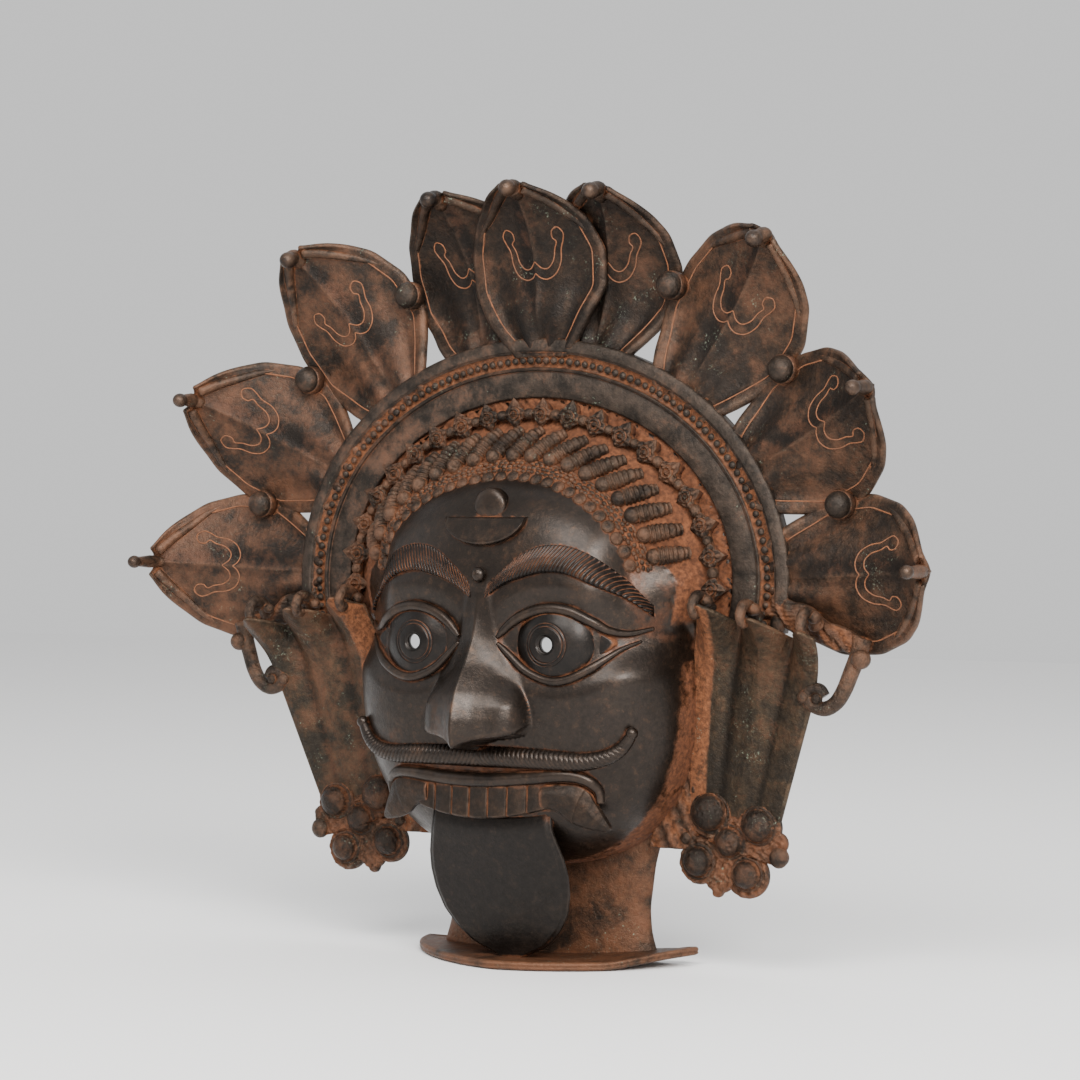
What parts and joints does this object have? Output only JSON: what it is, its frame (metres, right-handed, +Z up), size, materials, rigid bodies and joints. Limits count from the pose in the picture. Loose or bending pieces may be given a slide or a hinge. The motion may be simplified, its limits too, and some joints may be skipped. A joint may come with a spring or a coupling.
{
  "type": "bhuta ritual mask",
  "caption": "Cast brass ritual mask of a fierce spirit with bared teeth, hanging tongue and ear flaps, under an arch of serpent hoods, on a shallow foot.",
  "frame": {"origin": "on the underside of the foot, in the mask's middle plane, level with the front face of the halo's band", "axes": "+X to the viewer's right across the hoods, +Y to the open back, +Z up through the crown"},
  "size_m": [0.4304, 0.1036, 0.3752],
  "materials": {
    "patinated_brass": "dark brown patina, semi-matt, with rust-orange dirt in the recesses"
  },
  "bodies": {
    "root": {"bhuta_mask": "patinated_brass"}
  },
  "joints": []
}
